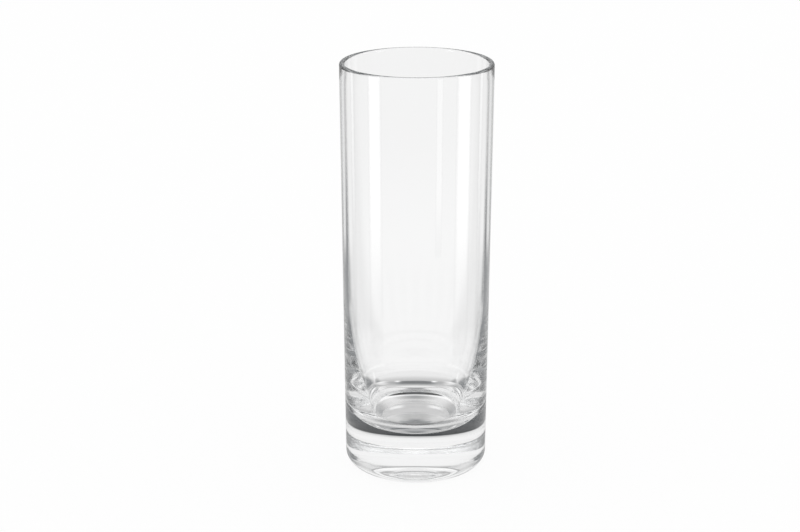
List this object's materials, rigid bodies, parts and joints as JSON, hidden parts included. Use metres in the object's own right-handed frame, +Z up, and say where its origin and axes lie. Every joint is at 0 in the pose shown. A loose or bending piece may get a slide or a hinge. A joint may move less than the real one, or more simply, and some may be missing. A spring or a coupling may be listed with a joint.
{
  "type": "tall bar glass",
  "caption": "Tall, straight, slightly flared clear drinking glass with a thick solid base and a fire-polished rim, for beer, water and long drinks.",
  "frame": {"origin": "centre of the standing ring, on the surface that the glass stands on", "axes": "+Z up along the axis of the glass, from the base to the rim; the glass looks the same from every side, so X and Y are free"},
  "size_m": [0.0578, 0.0578, 0.16],
  "materials": {
    "clear_glass": "fire-polished, clear and colourless"
  },
  "bodies": {
    "root": {"base": "clear_glass", "wall": "clear_glass", "rim": "clear_glass"}
  },
  "joints": []
}
